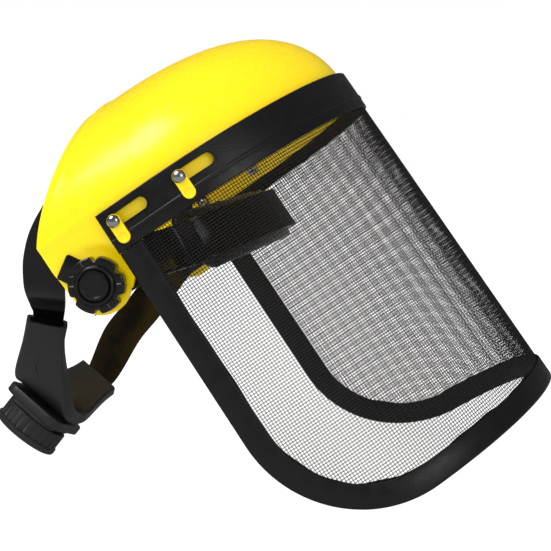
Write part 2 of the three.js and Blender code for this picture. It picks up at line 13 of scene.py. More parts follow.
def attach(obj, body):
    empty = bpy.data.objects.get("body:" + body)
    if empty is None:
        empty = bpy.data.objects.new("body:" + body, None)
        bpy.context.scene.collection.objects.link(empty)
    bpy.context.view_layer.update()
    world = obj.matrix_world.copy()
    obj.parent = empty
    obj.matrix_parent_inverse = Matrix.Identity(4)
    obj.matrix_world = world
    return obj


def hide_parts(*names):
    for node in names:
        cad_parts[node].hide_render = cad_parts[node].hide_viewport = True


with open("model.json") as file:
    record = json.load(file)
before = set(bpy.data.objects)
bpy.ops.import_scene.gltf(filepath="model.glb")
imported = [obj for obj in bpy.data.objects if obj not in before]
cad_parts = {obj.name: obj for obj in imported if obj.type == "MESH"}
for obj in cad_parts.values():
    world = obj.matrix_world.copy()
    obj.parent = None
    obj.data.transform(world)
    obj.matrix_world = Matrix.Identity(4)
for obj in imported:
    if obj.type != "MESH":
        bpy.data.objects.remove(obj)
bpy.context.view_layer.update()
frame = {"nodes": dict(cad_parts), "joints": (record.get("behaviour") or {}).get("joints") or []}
nodes = frame["nodes"]
joints = {joint["name"]: joint for joint in frame["joints"]}
sides = {"right": -1, "left": 1}

restTilt = math.radians(33.6)  # how far the head's up axis leans back at rest
pivot = dict(y=45, z=165, outer=108.4, lobe=15)  # the guard's pivots on the ears
pivotRow = Vector(joints["guard_tilt"]["pos_m"]) * 1000
headToRow = (Matrix.Scale(0.001, 4) @ Matrix.Translation(pivotRow) @ Matrix.Rotation(-restTilt, 4, "X")
             @ Matrix.Translation((0, -pivot["y"], -pivot["z"])))


def lerp(a, b, t):
    return a + (b - a) * t


def smoothStep(t, low, high):
    t = min(1, max(0, (t - low) / (high - low)))
    return t * t * (3 - 2 * t)


def hexColour(code):
    channels = [int(code[i:i + 2], 16) / 255 for i in (1, 3, 5)]
    return tuple(c / 12.92 if c <= 0.04045 else ((c + 0.055) / 1.055) ** 2.4 for c in channels) + (1,)


def addNode(tree, kind, inputs=None, **settings):
    node = tree.nodes.new(kind)
    for name, value in settings.items():
        setattr(node, name, value)
    for key, value in (inputs or {}).items():
        if isinstance(value, bpy.types.NodeSocket):
            tree.links.new(value, node.inputs[key])
        else:
            node.inputs[key].default_value = value
    return node


def startMaterial(name, **shaderInputs):
    material = bpy.data.materials.new(name)
    material.use_nodes = True
    tree = material.node_tree
    shader = tree.nodes["Principled BSDF"]
    for key, value in shaderInputs.items():
        shader.inputs[key.replace("_", " ")].default_value = value
    coords = addNode(tree, "ShaderNodeTexCoord").outputs["Object"]
    return material, tree, shader, coords


def perMetre(millimetres):
    return 1000 / millimetres


# Soft mottling of colour and gloss, with a fine grain, as moulded plastic has.
def mouldedFinish(name, shades, gloss, grain, depth, **shaderInputs):
    material, tree, shader, coords = startMaterial(name, **shaderInputs)
    cloud = addNode(tree, "ShaderNodeTexNoise", {"Vector": coords, "Scale": perMetre(35), "Detail": 3})
    tone = addNode(tree, "ShaderNodeMix", {"Factor": cloud.outputs["Fac"]}, data_type="RGBA")
    for socket, shade in zip([s for s in tone.inputs if s.type == "RGBA"], shades):
        socket.default_value = hexColour(shade)
    colour = next(s for s in tone.outputs if s.type == "RGBA")
    tree.links.new(colour, shader.inputs["Base Color"])
    scuff = addNode(tree, "ShaderNodeTexNoise", {"Vector": coords, "Scale": perMetre(6), "Detail": 4})
    spread = addNode(tree, "ShaderNodeMapRange", {"Value": scuff.outputs["Fac"], "From Min": 0.3,
                                                  "From Max": 0.7, "To Min": gloss[0], "To Max": gloss[1]})
    tree.links.new(spread.outputs["Result"], shader.inputs["Roughness"])
    fine = addNode(tree, "ShaderNodeTexNoise", {"Vector": coords, "Scale": perMetre(grain), "Detail": 2})
    bump = addNode(tree, "ShaderNodeBump", {"Height": fine.outputs["Fac"], "Strength": depth,
                                            "Distance": 0.0003})
    tree.links.new(bump.outputs["Normal"], shader.inputs["Normal"])
    return material


# Polypropylene, injection moulded: bright lemon yellow, waxy gloss, light glows through thin walls.
yellowPolypropylene = mouldedFinish("yellowMouldedPolypropylene", ("#FFE000", "#FFDA00"), (0.24, 0.32), 1.6,
                                    0.05, IOR=1.49, Subsurface_Weight=0.12, Subsurface_Scale=0.004)
# Polyethylene trim, extruded and moulded: near black with a soft broad gloss.
blackPolyethylene = mouldedFinish("blackMouldedPolyethylene", ("#0B0B0D", "#131316"), (0.3, 0.46), 0.9, 0.35,
                                  IOR=1.51)
# Polyethylene strap: polished tool finish, clear reflections that break up a little.
polishedStrap = mouldedFinish("polishedPolyethyleneStrap", ("#0C0B0B", "#141313"), (0.12, 0.22), 2.4, 0.1,
                              IOR=1.51)
# Nylon knobs and nape cradle: spark eroded tool, satin grain.
satinNylon = mouldedFinish("satinMouldedNylon", ("#1B1B1D", "#28282A"), (0.32, 0.44), 0.7, 0.4, IOR=1.53)
# Nylon pivot knobs: polished tool, darker and with sharper highlights than the cradle.
glossyNylon = mouldedFinish("polishedMouldedNylon", ("#0B0B0D", "#131316"), (0.2, 0.32), 1.1, 0.25, IOR=1.53)
# Mild steel wire, epoxy dipped black: small dull glints along each wire.
dippedWire = mouldedFinish("blackDippedSteelWire", ("#121213", "#1D1D1F"), (0.4, 0.6), 0.5, 0.2, IOR=1.5)
# Mild steel, nickel plated and tumbled: bright, with faint haze.
nickelSteel = mouldedFinish("nickelPlatedSteel", ("#C9CACB", "#E2E2E0"), (0.14, 0.3), 1.2, 0.1, Metallic=1.0)


# Foam in knitted polyester cloth: blue black, rows of fine loops that catch a soft sheen. The colour is
# painted lighter on the loop tops and darker in the hollows between them, as painted highlight and painted
# shade.
def knittedCloth():
    material, tree, shader, coords = startMaterial("knittedPolyesterCloth", Roughness=0.85, Sheen_Weight=0.35,
                                                   Sheen_Roughness=0.5)
    loops = []
    for axis in ("X", "Z"):  # loops 1.4 mm apart, drawn coarser than the real 0.8 mm so that they show
        wave = addNode(tree, "ShaderNodeTexWave", {"Vector": coords, "Scale": perMetre(1.4) / (2 * math.pi),
                                                   "Distortion": 0.6, "Detail": 1}, bands_direction=axis)
        loops.append(wave.outputs["Fac"])
    knit = addNode(tree, "ShaderNodeMath", {0: loops[0], 1: loops[1]}, operation="MULTIPLY").outputs[0]
    # painted shade: this colour follows the knit's height, so the hollows between loops are painted darker and
    # the loop tops painted lighter
    paintedShadeRamp = addNode(tree, "ShaderNodeValToRGB", {"Fac": knit})
    paintedShadeRamp.color_ramp.elements[0].color = hexColour("#0B0C12")
    paintedShadeRamp.color_ramp.elements[1].color = hexColour("#262936")
    tree.links.new(paintedShadeRamp.outputs["Color"], shader.inputs["Base Color"])
    bump = addNode(tree, "ShaderNodeBump", {"Height": knit, "Strength": 0.6, "Distance": 0.0004})
    tree.links.new(bump.outputs["Normal"], shader.inputs["Normal"])
    return material


foamCloth = knittedCloth()
print("materials made")


def meshFrom(points, faces):
    mesh = bpy.data.meshes.new("shape")
    mesh.from_pydata([tuple(p) for p in points], [], faces)
    return mesh


def objectFrom(name, mesh):
    piece = bpy.data.objects.new(name, mesh)
    bpy.context.scene.collection.objects.link(piece)
    return piece


# Rings of points become a closed skin, with a flat face on each end.
def loft(rings):
    count = len(rings[0])
    faces = []
    for i in range(len(rings) - 1):
        here, there = i * count, (i + 1) * count
        faces += [[here + j, here + (j + 1) % count, there + (j + 1) % count, there + j] for j in range(count)]
    faces.append(list(range(count))[::-1])
    faces.append([(len(rings) - 1) * count + j for j in range(count)])
    return meshFrom([p for ring in rings for p in ring], faces)


def outwards(mesh):
    solid = bmesh.new()
    solid.from_mesh(mesh)
    bmesh.ops.remove_doubles(solid, verts=solid.verts, dist=1e-5)
    bmesh.ops.recalc_face_normals(solid, faces=solid.faces)
    if solid.calc_volume(signed=True) < 0:
        bmesh.ops.reverse_faces(solid, faces=solid.faces)
    solid.to_mesh(mesh)
    solid.free()
    return mesh


def applyModifiers(piece):
    graph = bpy.context.evaluated_depsgraph_get()
    mesh = bpy.data.meshes.new_from_object(piece.evaluated_get(graph))
    piece.modifiers.clear()
    piece.data = mesh
    return piece


# A mesh in head millimetres is laid down in the row's metres and given its look and its body.
def finish(name, mesh, look, body, replaced=(), sharp=35, place=None):
    outwards(mesh)
    mesh.transform(headToRow @ (place or Matrix.Identity(4)))
    piece = objectFrom(name, mesh)
    mesh.materials.clear()
    mesh.materials.append(look)
    for face in mesh.polygons:
        face.use_smooth = True
    mesh.set_sharp_from_angle(angle=math.radians(sharp))
    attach(piece, body)
    if replaced:
        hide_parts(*replaced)
    return piece


def mirrored(mesh, sign):
    if sign > 0:
        mesh.transform(Matrix.Scale(-1, 4, (1, 0, 0)))
    return mesh


def boolean(mesh, tool, operation):
    body, cutter = objectFrom("body", mesh), objectFrom("cutter", outwards(tool))
    outwards(mesh)
    modifier = body.modifiers.new("cut", "BOOLEAN")
    modifier.object, modifier.operation, modifier.solver = cutter, operation, "EXACT"
    applyModifiers(body)
    result = body.data
    for scrap in (body, cutter):
        bpy.data.objects.remove(scrap)
    return result


def bevelled(mesh, width, segments=2, angle=40):
    body = objectFrom("body", outwards(mesh))
    modifier = body.modifiers.new("round", "BEVEL")
    modifier.width, modifier.segments, modifier.angle_limit = width, segments, math.radians(angle)
    applyModifiers(body)
    result = body.data
    bpy.data.objects.remove(body)
    return result


# A shape turned about an axis parallel to X: the profile is radius and x.
def turned(profile, y=0, z=0, segments=48):
    rings = []
    for radius, x in profile:
        r = max(radius, 0.01)
        rings.append([(x, y + r * math.cos(t), z + r * math.sin(t))
                      for t in (2 * math.pi * k / segments for k in range(segments))])
    return loft(rings)


def prism(outline, x0, x1):
    return loft([[(x, y, z) for y, z in outline] for x in (x0, x1)])


def arcPoints(y, z, radius, start, end, count):
    return [(y + radius * math.cos(t), z + radius * math.sin(t))
            for t in (lerp(start, end, i / count) for i in range(count + 1))]


def stadium(y0, z0, y1, z1, radius, count=14):
    turn = math.atan2(z1 - z0, y1 - y0)
    return (arcPoints(y1, z1, radius, turn - math.pi / 2, turn + math.pi / 2, count)
            + arcPoints(y0, z0, radius, turn + math.pi / 2, turn + 1.5 * math.pi, count))


def joinMeshes(*meshes):
    whole = bmesh.new()
    for mesh in meshes:
        whole.from_mesh(mesh)
    result = bpy.data.meshes.new("joined")
    whole.to_mesh(result)
    whole.free()
    return result


# The visor's section has straight sides and a half ellipse, and is measured from the right rear edge.
visor = dict(halfWidth=112, depth=96, side=28, height=192, corner=64, flare=0.00017,
             pitch=1.5, wire=0.21, crimp=0.17, top=181, tuck=5)

sectionPoints = [Vector((-visor["halfWidth"], visor["side"]))]
for step in range(401):
    around = math.pi * (1 - step / 400)
    sectionPoints.append(Vector((visor["halfWidth"] * math.cos(around), -visor["depth"] * math.sin(around))))
sectionPoints.append(Vector((visor["halfWidth"], visor["side"])))
arcLengths = [0]
for before, after in zip(sectionPoints, sectionPoints[1:]):
    arcLengths.append(arcLengths[-1] + (after - before).length)
span = arcLengths[-1]


def wrap(a, z, out=0):
    i = min(max(bisect_right(arcLengths, a) - 1, 0), len(arcLengths) - 2)
    t = (a - arcLengths[i]) / (arcLengths[i + 1] - arcLengths[i])
    start, end = sectionPoints[i], sectionPoints[i + 1]
    along = (end - start).normalized()
    point = start.lerp(end, t) * (1 + visor["flare"] * (visor["height"] - z))
    return Vector((point.x + along.y * out, point.y - along.x * out, z))


# Woven wire: a flat crimped grid is trimmed and bent round the section.
def wovenWireTree(acrossRows):
    tree = bpy.data.node_groups.new("wovenWire", "GeometryNodeTree")
    for name, kind in (("Section", "Geometry"), ("Span", "Float"), ("Top", "Float"), ("Height", "Float"),
                       ("Pitch", "Float"), ("Wire Radius", "Float"), ("Crimp", "Float"), ("Corner", "Float"),
                       ("Tuck", "Float"), ("Flare", "Float"), ("Wire", "Material")):
        tree.interface.new_socket(name, in_out="INPUT", socket_type="NodeSocket" + kind)
    tree.interface.new_socket("Wires", in_out="OUTPUT", socket_type="NodeSocketGeometry")
    given = addNode(tree, "NodeGroupInput").outputs

    def maths(operation, a, b=0.0, c=0.0):
        return addNode(tree, "ShaderNodeMath", {0: a, 1: b, 2: c}, operation=operation).outputs[0]

    columns = maths("ADD", maths("ROUND", maths("DIVIDE", given["Span"], given["Pitch"])), 1)
    rows = maths("ADD", maths("ROUND", maths("DIVIDE", given["Top"], given["Pitch"])), 1)
    grid = addNode(tree, "GeometryNodeMeshGrid", {"Size X": given["Span"], "Size Y": given["Top"],
                                                  "Vertices X": columns, "Vertices Y": rows})
    ends = addNode(tree, "GeometryNodeInputMeshEdgeVertices").outputs
    apart = addNode(tree, "ShaderNodeVectorMath", {0: ends["Position 1"], 1: ends["Position 2"]},
                    operation="SUBTRACT").outputs[0]
    apartXyz = addNode(tree, "ShaderNodeSeparateXYZ", {0: apart}).outputs
    crossing = maths("GREATER_THAN", maths("ABSOLUTE", apartXyz["Y" if acrossRows else "X"]), 0.01)
    lines = addNode(tree, "GeometryNodeDeleteGeometry",
                    {"Geometry": grid.outputs["Mesh"], "Selection": crossing},
                    domain="EDGE", mode="EDGE_FACE").outputs[0]
    position = addNode(tree, "GeometryNodeInputPosition").outputs[0]
    place = addNode(tree, "ShaderNodeSeparateXYZ", {0: position}).outputs
    along = maths("ADD", place["X"], maths("MULTIPLY", given["Span"], 0.5))
    up = maths("ADD", place["Y"], maths("MULTIPLY", given["Top"], 0.5))
    # the corner is a round one, and the wires end a little inside the binding
    edge = maths("MINIMUM", along, maths("SUBTRACT", given["Span"], along))
    radius = maths("SUBTRACT", given["Corner"], given["Tuck"])
    sideways = maths("MAXIMUM", maths("SUBTRACT", given["Corner"], edge), 0)
    downwards = maths("MAXIMUM", maths("SUBTRACT", given["Corner"], up), 0)
    reach = maths("SQRT", maths("ADD", maths("MULTIPLY", sideways, sideways),
                                maths("MULTIPLY", downwards, downwards)))
    outside = maths("GREATER_THAN", reach, radius)
    trimmed = addNode(tree, "GeometryNodeDeleteGeometry", {"Geometry": lines, "Selection": outside},
                      domain="POINT", mode="ALL").outputs[0]
    # over and under: neighbouring crossings take opposite signs
    count = maths("ADD", maths("ROUND", maths("DIVIDE", along, given["Pitch"])),
                  maths("ROUND", maths("DIVIDE", up, given["Pitch"])))
    first = 1 if acrossRows else -1
    sign = maths("MULTIPLY_ADD", maths("FLOORED_MODULO", count, 2), -2 * first, first)
    lift = maths("MULTIPLY", sign, given["Crimp"])
    section = addNode(tree, "GeometryNodeMeshToCurve", {"Mesh": given["Section"]}).outputs[0]
    sample = addNode(tree, "GeometryNodeSampleCurve", {"Curves": section, "Length": along},
                     mode="LENGTH", use_all_curves=True).outputs
    tangent = addNode(tree, "ShaderNodeSeparateXYZ", {0: sample["Tangent"]}).outputs
    outward = addNode(tree, "ShaderNodeCombineXYZ",
                      {"X": tangent["Y"], "Y": maths("MULTIPLY", tangent["X"], -1)}).outputs[0]
    widen = maths("MULTIPLY_ADD", maths("SUBTRACT", given["Height"], up), given["Flare"], 1)
    flat = addNode(tree, "ShaderNodeVectorMath", {0: sample["Position"], "Scale": widen},
                   operation="SCALE").outputs[0]
    pushed = addNode(tree, "ShaderNodeVectorMath", {0: outward, "Scale": lift}, operation="SCALE").outputs[0]
    raised = addNode(tree, "ShaderNodeCombineXYZ", {"Z": up}).outputs[0]
    crimped = addNode(tree, "ShaderNodeVectorMath", {0: flat, 1: pushed}, operation="ADD").outputs[0]
    onSheet = addNode(tree, "ShaderNodeVectorMath", {0: crimped, 1: raised}, operation="ADD").outputs[0]
    bent = addNode(tree, "GeometryNodeSetPosition", {"Geometry": trimmed, "Position": onSheet}).outputs[0]
    paths = addNode(tree, "GeometryNodeMeshToCurve", {"Mesh": bent}).outputs[0]
    threeSided = addNode(tree, "GeometryNodeCurvePrimitiveCircle",
                         {"Resolution": 3, "Radius": given["Wire Radius"]}, mode="RADIUS").outputs["Curve"]
    wires = addNode(tree, "GeometryNodeCurveToMesh", {"Curve": paths, "Profile Curve": threeSided}).outputs[0]
    smooth = addNode(tree, "GeometryNodeSetShadeSmooth", {"Geometry": wires, "Shade Smooth": True}).outputs[0]
    real = addNode(tree, "GeometryNodeRealizeInstances", {"Geometry": smooth}).outputs[0]
    coated = addNode(tree, "GeometryNodeSetMaterial",
                     {"Geometry": real, "Material": given["Wire"]}).outputs[0]
    addNode(tree, "NodeGroupOutput", {"Wires": coated})
    return tree


def wovenWires(name, acrossRows, replaced):
    points = [(p.x, p.y, 0) for p in sectionPoints]
    mesh = bpy.data.meshes.new(name)
    mesh.from_pydata(points, [(i, i + 1) for i in range(len(points) - 1)], [])
    piece = objectFrom(name, mesh)
    tree = wovenWireTree(acrossRows)
    modifier = piece.modifiers.new("wires", "NODES")
    modifier.node_group = tree
    sizes = {"Span": span, "Top": visor["top"], "Height": visor["height"], "Pitch": visor["pitch"],
             "Wire Radius": visor["wire"], "Crimp": visor["crimp"], "Corner": visor["corner"],
             "Tuck": visor["tuck"], "Flare": visor["flare"], "Wire": dippedWire}
    for socket in tree.interface.items_tree:
        if socket.in_out == "INPUT" and socket.name in sizes:
            modifier[socket.identifier] = sizes[socket.name]
    applyModifiers(piece)
    piece.data.transform(headToRow)
    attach(piece, "guard")
    if replaced:
        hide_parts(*replaced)
    print(name, len(piece.data.polygons), "faces")
    return piece


wovenWires("visor_warp_wires", True, ["visor_mesh"])
wovenWires("visor_weft_wires", False, [])


# The top strip and the edge binding are swept round the sheet's flat pattern.
strip = dict(bottom=171, half=1.5, round=0.5, ridge=15, ridgeHalf=1.1, ridgeHeight=0.45, lip=0.5)
latch = dict(y=dict(front=-15.2, rear=21.3), z=185, slot=18, slotHalf=3.1, reach=8.4, tip=3.2, hub=3.4,
             hole=2.3)


def roundedBar(low, high, inner, outer, radius, count=4):
    corners = ((high - radius, outer - radius, 0), (low + radius, outer - radius, 90),
               (low + radius, inner + radius, 180), (high - radius, inner + radius, 270))
    ring = []
    for z, n, start in corners:
        for i in range(count + 1):
            t = math.radians(start + 90 * i / count)
            ring.append((z + radius * math.cos(t), n + radius * math.sin(t)))
    return ring


def slotOutline(y, grow=0, count=14):
    front = y - latch["slot"] + latch["slotHalf"]
    return stadium(y, latch["z"], front, latch["z"], latch["slotHalf"] + grow, count)


def slotTools(x0, x1):
    return [prism(slotOutline(y), *sorted((sign * x0, sign * x1)))
            for sign in sides.values() for y in latch["y"].values()]


def topStrip():
    ring = roundedBar(strip["bottom"], visor["height"], -strip["half"], strip["half"], strip["round"])
    # a low moulded ridge runs along the outer face
    ridgeZ = visor["height"] - strip["ridge"]
    outer = max(n for z, n in ring)
    at = next(i for i, (z, n) in enumerate(ring) if z < ridgeZ)
    ridge = [(ridgeZ + strip["ridgeHalf"] * math.cos(t), outer + strip["ridgeHeight"] * math.sin(t))
             for t in (i * math.pi / 6 for i in range(7))]
    ring[at:at] = ridge
    stations = [span * i / 300 for i in range(301)]
    body = loft([[wrap(a, z, n) for z, n in ring] for a in stations])
    for tool in slotTools(100, 125):
        body = boolean(body, tool, "DIFFERENCE")
    finish("strip_with_slots", body, blackPolyethylene, "guard", ["visor_top_strip"],
           sharp=40)
    rims = [lipRound(slotOutline(y, strip["lip"], 20), sign)  # a thin raised lip goes round each slot
            for sign in sides.values() for y in latch["y"].values()]
    finish("strip_slot_lips", joinMeshes(*rims), blackPolyethylene, "guard", [])


def arcAt(y):
    low, high = 0, span / 2
    for _ in range(40):
        middle = (low + high) / 2
        low, high = (middle, high) if wrap(middle, latch["z"]).y > y else (low, middle)
    return low


def lipRound(outline, sign, radius=0.45, corners=6):
    count, points, faces = len(outline), [], []
    centre = Vector((sum(y for y, z in outline) / count, sum(z for y, z in outline) / count))
    for k, (y, z) in enumerate(outline):
        outer = (Vector((y, z)) - Vector(outline[k - 1])).normalized()
        sideways = Vector((y, z)) - centre
        if sideways.length < 1e-6:
            sideways = Vector((outer.y, -outer.x))
        sideways.normalize()
        for i in range(corners):
            t = 2 * math.pi * i / corners
            flat = Vector((y, z)) + sideways * radius * math.cos(t)
            point = wrap(arcAt(flat.x), flat.y, strip["half"] + 0.05 + radius * math.sin(t))
            points.append((-sign * point.x, point.y, point.z))
    for k in range(count):
        here, there = k * corners, (k + 1) % count * corners
        faces += [[here + i, here + (i + 1) % corners, there + (i + 1) % corners, there + i]
                  for i in range(corners)]
    return meshFrom(points, faces)


topStrip()
print("strip made")

binding = dict(width=12, inner=12.3, half=1.5, spine=1.2, wave=0.5)


# Stations down one side, along the bottom and up the other: place on the sheet and the way inwards.
def edgeStations():
    r, top = visor["corner"], strip["bottom"] - 0.3
    down = [(0, lerp(top, r, i / 60), 1, 0) for i in range(60)]
    turn = [(r - r * math.cos(t), r - r * math.sin(t), math.cos(t), math.sin(t))
            for t in (math.pi / 2 * i / 60 for i in range(60))]
    half = down + turn
    flat = [(lerp(r, span - r, i / 160), 0, 0, 1) for i in range(161)]
    return half + flat + [(span - a, z, -inA, inZ) for a, z, inA, inZ in reversed(half)]


def edgeBinding():
    b = binding
    rings = []
    for k, (a, z, inA, inZ) in enumerate(edgeStations()):
        wave = b["wave"] * (math.sin(k * 0.19) + 0.6 * math.sin(k * 0.43 + 1)) * (0.35 + 0.65 * inZ)
        inner = b["inner"] + wave
        swell = b["half"] + 0.12 * math.sin(k * 0.31)
        profile = [(0.5, 1.2), (1.4, b["half"]), (b["width"] - 0.6, b["half"]), (b["width"] - 0.1, 1.25),
                   (b["width"], 0.8), (b["width"] - 0.4, 0.55), (b["spine"], 0.55), (b["spine"], -0.55),
                   (inner - 0.4, -0.55), (inner, -0.8), (inner - 0.1, -1.25), (inner - 0.6, -swell),
                   (1.4, -b["half"]), (0.5, -1.2), (0.1, -0.6), (0, 0), (0.1, 0.6)]
        rings.append([wrap(a + w * inA, z + w * inZ, n) for w, n in profile])
    finish("binding_skin", loft(rings), blackPolyethylene, "guard", ["visor_edge_binding"],
           sharp=50)


edgeBinding()
print("binding made")

# The brow guard is one moulded shell: a dome over a rim wall that ends in two round ears.
guard = dict(inset=1.8, rise=52.5, rear=150, base=192, floor=140, wall=2.4, low=178, back=62,
             bead=0.55, beadIn=4, crease=0.5, creaseAt=194.5, boltHole=3.3)


def rearEdge(count=24):
    start, middle, end = Vector((guard["back"], 196)), Vector((guard["back"] - 12, 213)), Vector((2, 252))
    return [start * (1 - t) ** 2 + middle * 2 * t * (1 - t) + end * t * t
            for t in (i / count for i in range(count + 1))]


def guardOutline():
    y, z = pivot["y"], pivot["z"]
    points = [(-120, guard["low"]), (8, guard["low"])]
    points += [(lerp(8, 15, t) + 4 * t * (1 - t), guard["low"] - 6 * t * t) for t in (0.3, 0.6, 1)]
    points += [(24, 163), (y - 12, z - 10)]
    points += arcPoints(y, z, pivot["lobe"], -2.45, -0.1, 24)
    points += [(guard["back"], 183)]
    points += [tuple(p) for p in rearEdge()]
    return points + [(-120, 252)]


def guardPoint(angle, r, z=None):
    side = visor["halfWidth"] - guard["inset"]
    if math.sin(angle) >= 0:
        x, y = side * math.cos(angle), -(visor["depth"] - guard["inset"]) * math.sin(angle)
    else:
        y = -guard["rear"] * math.sin(angle)
        x = math.copysign(side * math.sqrt(max(0, 1 - (y / guard["rear"]) ** 3)), math.cos(angle))
    if z is not None:
        widen = 1 + visor["flare"] * (visor["height"] - z)
        return Vector((x * widen, y * widen, z))
    back = max(0, y * r) / 50
    rise = guard["rise"] * math.sqrt(max(0, 1 - r ** (2.8 + min(1, back))))
    return Vector((x * r, y * r, guard["base"] + rise * (1 - 0.1 * min(1.5, back) ** 2)))


def browGuard():
    around = 420
    rings = [[guardPoint(2 * math.pi * k / around, 1, z) for k in range(around)]
             for z in [lerp(guard["floor"], guard["base"], i / 34) for i in range(34)]]
    for i in range(72):
        r = 1 - (i / 72) ** 1.9
        rings.append([guardPoint(2 * math.pi * k / around, r) for k in range(around)])
    shell = loft(rings)
    skin = bmesh.new()
    skin.from_mesh(shell)
    openBottom = [f for f in skin.faces if len(f.verts) > 4 and f.calc_center_median().z < 150]
    bmesh.ops.delete(skin, geom=openBottom, context="FACES_ONLY")
    bmesh.ops.recalc_face_normals(skin, faces=skin.faces)
    skin.normal_update()
    if sum(f.normal.dot(f.calc_center_median() - Vector((0, 0, 150))) for f in skin.faces) < 0:
        bmesh.ops.reverse_faces(skin, faces=skin.faces)
    skin.normal_update()
    edge = rearEdge(40) + [Vector((guard["back"], z)) for z in (193, 190, 187, 184)]
    for point in skin.verts:
        co = point.co
        toPivot = math.hypot(co.y - pivot["y"], co.z - pivot["z"])
        toEdge = min((Vector((co.y, co.z)) - p).length for p in edge) if co.y > -10 else 99
        lift = guard["bead"] * math.exp(-((toEdge - guard["beadIn"]) / 1.3) ** 2)
        if co.y > 24:
            lift += guard["crease"] * math.exp(-((co.z - guard["creaseAt"]) / 1.1) ** 2)
        point.co = co + point.normal * lift
        if toPivot < pivot["lobe"] + 5:
            flat = math.copysign(pivot["outer"], co.x)
            point.co.x = lerp(flat, point.co.x, smoothStep(toPivot, pivot["lobe"], pivot["lobe"] + 5))
    skin.to_mesh(shell)
    skin.free()
    body = objectFrom("shell", shell)
    modifier = body.modifiers.new("wall", "SOLIDIFY")
    modifier.thickness, modifier.offset = guard["wall"], -1
    applyModifiers(body)
    mesh = body.data
    bpy.data.objects.remove(body)
    mesh = boolean(mesh, prism(guardOutline(), -130, 130), "INTERSECT")
    drills = [turned([(guard["boltHole"], -130), (guard["boltHole"], 130)], pivot["y"], pivot["z"])]
    drills += [turned([(latch["hole"], -130), (latch["hole"], 130)], y, latch["z"], 24)
               for y in latch["y"].values()]
    for drill in drills:
        mesh = boolean(mesh, drill, "DIFFERENCE")
    return mesh


finish("guard_shell", browGuard(), yellowPolypropylene, "guard", ["brow_guard"], sharp=42)
print("brow guard made")


# Latches are made at the origin, facing -X, and are then laid on the visor's wall.
def latchPlace(y, sign):
    a = arcAt(y)
    foot = wrap(a, latch["z"])
    out = wrap(a, latch["z"], 10) - foot
    turn = math.atan2(out.y, out.x) - math.pi
    place = Matrix.Translation(foot) @ Matrix.Rotation(turn, 4, "Z")
    return Matrix.Scale(-1, 4, (1, 0, 0)) @ place if sign > 0 else place


def latchLever():
    arm = bevelled(prism(stadium(0, 0, 0, -latch["reach"], latch["tip"], 20), -3.8, -1.8), 0.5, 3)
    hub = bevelled(turned([(latch["hub"], -3.85), (latch["hub"], -1.8), (2.4, -1.8), (2.4, 1.2)]), 0.35, 2)
    dish = turned([(2.2, -6), (2.2, -3.55), (1.6, -3.2)], 0, -latch["reach"], 32)
    return boolean(boolean(arm, hub, "UNION"), dish, "DIFFERENCE")


def rivet():
    head = [(3.25 * math.cos(t), -4.15 - 2.3 * math.sin(t))
            for t in (math.pi / 2 * (1 - i / 9) for i in range(10))]
    tail = [(2.3 * math.cos(t), 5.9 + 1.2 * math.sin(t)) for t in (math.pi / 2 * i / 6 for i in range(7))]
    return turned(head + [(3.1, -3.95), (1.2, -3.95), (1.2, 5.9)] + tail, segments=40)


for side, sign in sides.items():
    for place, y in latch["y"].items():
        where = latchPlace(y, sign)
        finish(f"lever_{side}_{place}", latchLever(), yellowPolypropylene, f"latch_{side}_{place}",
               [f"latch_{side}_{place}"], place=where)
        finish(f"rivet_{side}_{place}", rivet(), nickelSteel, "guard", [f"latch_rivet_{side}_{place}"],
               place=where)
print("latches made")

knob = dict(radius=13.5, inner=110.1, ribs=6, notch=1.9, cap=7.2)
plate = dict(low=-11, high=20, half=6.5, corner=1.2, inner=109.0, outer=109.8, turn=58)


def knobRadius(angle):
    notch = math.cos(knob["ribs"] * angle)
    return knob["radius"] - knob["notch"] * smoothStep(notch, 0.55, 0.95)


def pivotKnob():
    inner = knob["inner"]
    levels = [(inner, 0.93), (inner + 0.5, 0.98), (inner + 1.2, 1), (117.0, 1), (117.7, 0.985), (118.0, 0.95),
              (118.15, 0.9), (118.05, 0.76)]  # distance from the middle, and share of the full radius
    turns = [2 * math.pi * k / 144 for k in range(144)]
    y, z = pivot["y"], pivot["z"]
    rings = [[(-x, y + knobRadius(t) * s * math.cos(t), z + knobRadius(t) * s * math.sin(t)) for t in turns]
             for x, s in levels]
    collar = turned([(9.6, -118.0), (9.6, -119.1), (9.3, -119.7), (8.6, -120), (7.9, -119.8), (7.55, -119.3),
                     (7.5, -116.2)], y, z, 72)
    return joinMeshes(loft(rings), collar)


def gripRibs():
    bars = []
    for k in range(knob["ribs"]):  # short raised bars between the notches, on the front face
        angle = 2 * math.pi * (k + 0.5) / knob["ribs"]
        direction = Vector((0, math.cos(angle), math.sin(angle)))
        sideways = Vector((0, -math.sin(angle), math.cos(angle)))
        section = ((-0.45, -0.3), (-0.45, 0.2), (0, 0.45), (0.45, 0.2), (0.45, -0.3))
        bars.append(loft([[Vector((-118.0 - n, pivot["y"], pivot["z"])) + direction * reach + sideways * w
                           for w, n in section] for reach in (10.2, 12.6)]))
    return joinMeshes(*bars)


def knobCap():
    cap = knob["cap"]
    profile = [(cap, -116.4), (cap, -120.4), (cap - 0.3, -120.85), (cap - 0.8, -121), (5.6, -121),
               (5.3, -120.75), (0.5, -120.75)]
    return turned(profile, pivot["y"], pivot["z"], 64)


def endPlate():
    outline = roundedBar(plate["low"], plate["high"], -plate["half"], plate["half"], plate["corner"])
    slab = loft([[(x, u, v) for u, v in outline] for x in (-plate["outer"], -plate["inner"])])
    mesh = bevelled(slab, 0.15, 2)
    mesh.transform(Matrix.Translation((0, pivot["y"], pivot["z"]))
                   @ Matrix.Rotation(math.radians(plate["turn"]), 4, "X"))
    return mesh


